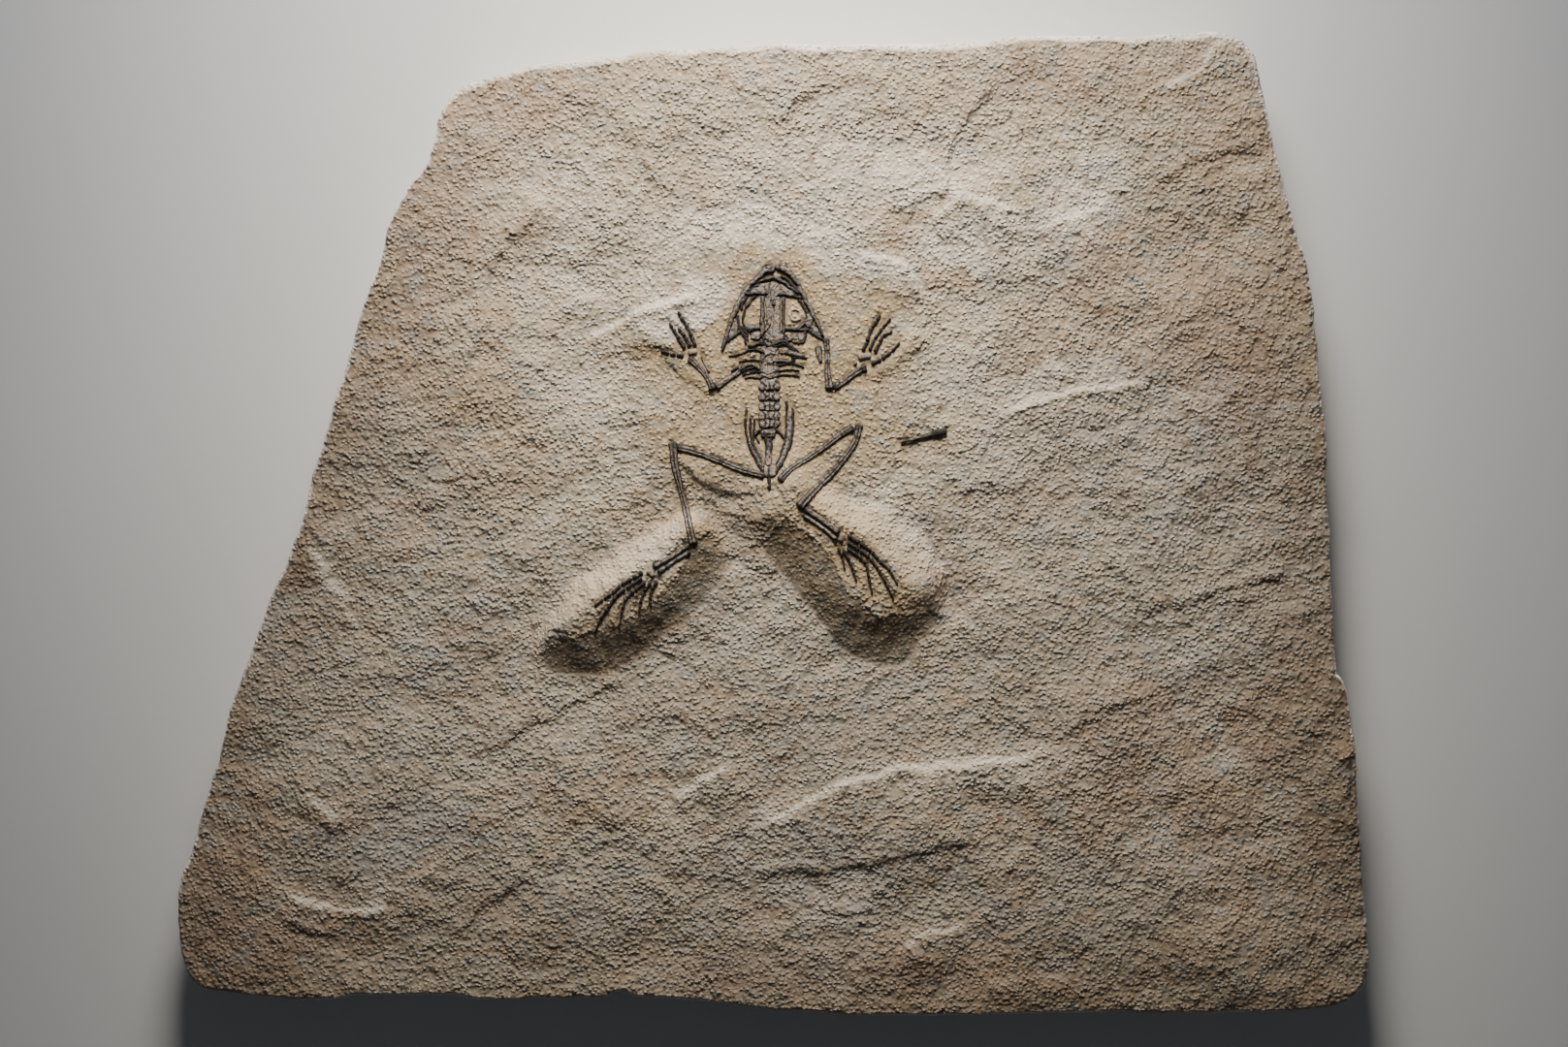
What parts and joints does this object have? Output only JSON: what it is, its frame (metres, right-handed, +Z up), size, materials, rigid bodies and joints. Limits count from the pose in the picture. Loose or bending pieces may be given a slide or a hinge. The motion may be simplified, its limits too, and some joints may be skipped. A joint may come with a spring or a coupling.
{
  "type": "fossil frog",
  "caption": "Flattened frog skeleton, belly down with legs drawn up and feet spread, on a rough slab of pale sandstone with a flat back for lying on a table.",
  "frame": {"origin": "middle of the slab's outline, on its flat back, which is the face it lies on", "axes": "+Z up out of the slab's face, +Y towards the snout, +X towards the wide side of the slab on the frog's right as seen from above"},
  "size_m": [0.494, 0.408, 0.035],
  "materials": {
    "sandstone": "rough, matt",
    "bone": "dark brown mineral, slight sheen",
    "pale_bone": "pale mineral, dull"
  },
  "bodies": {
    "root": {"slab": "sandstone", "skull": "bone", "vertebra_1": "bone", "vertebra_2": "bone", "vertebra_3": "bone", "vertebra_4": "bone", "vertebra_5": "bone", "vertebra_6": "bone", "vertebra_7": "bone", "vertebra_8": "bone", "sacrum": "bone", "urostyle": "bone", "ischium": "bone", "ilium_left": "bone", "ilium_right": "bone", "clavicle_left": "bone", "rib_left": "bone", "suprascapula_right": "bone", "scapula_right": "bone", "humerus_left": "bone", "radioulna_left": "bone", "ulna_splint_left": "bone", "carpus_left": "pale_bone", "humerus_right": "bone", "radioulna_right": "bone", "wrist_splint_right": "bone", "carpus_right": "pale_bone", "femur_left": "bone", "tibiofibula_left": "bone", "tibiale_left": "bone", "fibulare_left": "bone", "tarsus_left": "pale_bone", "femur_right": "bone", "tibiofibula_right": "bone", "tibiale_right": "bone", "fibulare_right": "bone", "tarsus_right": "pale_bone", "loose_bone": "bone", "finger_left_1": "bone", "finger_left_2": "bone", "finger_left_3": "bone", "finger_left_4": "bone", "finger_right_1": "bone", "finger_right_2": "bone", "finger_right_3": "bone", "finger_right_4": "bone", "toe_left_1": "bone", "toe_left_2": "bone", "toe_left_3": "bone", "toe_left_4": "bone", "toe_left_5": "bone", "toe_right_1": "bone", "toe_right_2": "bone", "toe_right_3": "bone", "toe_right_4": "bone", "toe_right_5": "bone"}
  },
  "joints": []
}
